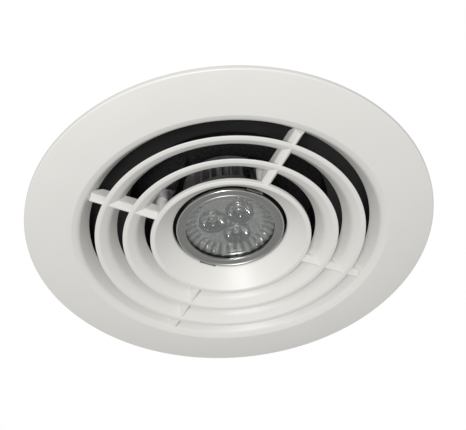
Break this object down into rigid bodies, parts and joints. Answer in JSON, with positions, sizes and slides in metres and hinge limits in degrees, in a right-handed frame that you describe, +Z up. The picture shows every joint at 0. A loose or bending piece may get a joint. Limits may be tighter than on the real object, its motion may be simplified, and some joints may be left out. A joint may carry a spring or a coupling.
{
  "type": "ceiling air grille with lamp",
  "caption": "Round ceiling extract grille: sloping flange, concentric cone blades on radial ribs, central spot lamp, duct spigot behind and sprung clips that fold to pass the ceiling hole.",
  "frame": {"origin": "centre of the ceiling hole, on the plane of the flange's back face", "axes": "+Z up along the duct, away from the room; +X to the right and -Y towards a viewer who looks up at it"},
  "size_m": [0.186, 0.186, 0.0736],
  "materials": {
    "white_abs": "satin off-white ABS",
    "grey_plastic": "moulded grey polymer",
    "foam": "closed-cell foam",
    "filter_foam": "open-cell foam",
    "rubber": "matt",
    "zinc_steel": "zinc plated",
    "spring_steel": "bright spring steel",
    "stainless": "bright",
    "brass": "bright",
    "ceramic": "unglazed steatite ceramic",
    "silicone_red": "silicone sleeve",
    "silicone_black": "silicone sleeve",
    "nylon": "natural nylon",
    "lamp_metal": "matt grey anodised",
    "cast_aluminium": "dark die-cast",
    "glass": "clear",
    "silver": "vacuum-metallised",
    "clear_lens": "clear acrylic",
    "pcb": "white solder mask",
    "phosphor": "phosphor",
    "green_pcb": "green solder mask",
    "components": "sleeved components",
    "black_plastic": "moulded",
    "white_plastic": "moulded PBT"
  },
  "bodies": {
    "root": {"grille_moulding": "white_abs", "grille_skirt": "white_abs", "foam_gasket": "foam", "adaptor_collar": "black_plastic", "adaptor_plate": "black_plastic", "duct_spigot": "black_plastic", "foam_filter": "filter_foam", "adaptor_screws": "stainless", "cable_grommet": "rubber", "clip_rivets": "zinc_steel", "lamp_strap": "zinc_steel", "lamp_spring_near": "spring_steel", "lamp_spring_far": "spring_steel", "boss_screws": "stainless", "lampholder": "ceramic", "lampholder_contacts": "brass", "lampholder_screws": "stainless", "lampholder_nuts": "stainless", "lampholder_lead_live": "silicone_red", "lampholder_lead_neutral": "silicone_black", "terminal_box": "grey_plastic", "terminal_lid": "grey_plastic", "cable_clamp": "nylon", "cable_clamp_screws": "stainless", "terminal_block": "nylon", "terminal_tubes": "brass", "terminal_screws": "stainless", "terminal_fixing_screw": "stainless", "clip_bracket_a": "zinc_steel", "clip_pin_a": "stainless", "clip_spring_a": "spring_steel", "clip_bracket_b": "zinc_steel", "clip_pin_b": "stainless", "clip_spring_b": "spring_steel", "clip_bracket_c": "zinc_steel", "clip_pin_c": "stainless", "clip_spring_c": "spring_steel"},
    "lamp": {"lamp_front_ring": "lamp_metal", "lamp_cover_glass": "glass", "lamp_reflector": "silver", "tir_lenses": "clear_lens", "led_board": "pcb", "led_emitters": "phosphor", "lamp_heat_sink": "cast_aluminium", "driver_board": "green_pcb", "driver_parts": "components", "lamp_base": "white_plastic", "lamp_pins": "stainless"},
    "clip_a": {"clip_arm_a": "spring_steel", "clip_pad_a": "black_plastic"},
    "clip_b": {"clip_arm_b": "spring_steel", "clip_pad_b": "black_plastic"},
    "clip_c": {"clip_arm_c": "spring_steel", "clip_pad_c": "black_plastic"}
  },
  "joints": [
    {"name": "lamp_pull", "type": "slide", "parent": "root", "child": "lamp", "axis": [0, 0, -1], "range_m": [0, 0.06]},
    {"name": "clip_a_fold", "type": "hinge", "parent": "root", "child": "clip_a", "pos_m": [0.00252, 0.07596, 0.0095], "axis": [0.9995, -0.0332, 0], "range_deg": [0, 115], "stiffness_Nm_per_rad": 0.03, "springref_deg": -91.67, "deforming": ["clip_spring_a"]},
    {"name": "clip_b_fold", "type": "hinge", "parent": "root", "child": "clip_b", "pos_m": [-0.06704, -0.0358, 0.0095], "axis": [-0.471, 0.8821, 0], "range_deg": [0, 115], "stiffness_Nm_per_rad": 0.03, "springref_deg": -91.67, "deforming": ["clip_spring_b"]},
    {"name": "clip_c_fold", "type": "hinge", "parent": "root", "child": "clip_c", "pos_m": [0.06452, -0.04016, 0.0095], "axis": [-0.5284, -0.849, 0], "range_deg": [0, 115], "stiffness_Nm_per_rad": 0.03, "springref_deg": -91.67, "deforming": ["clip_spring_c"]}
  ]
}
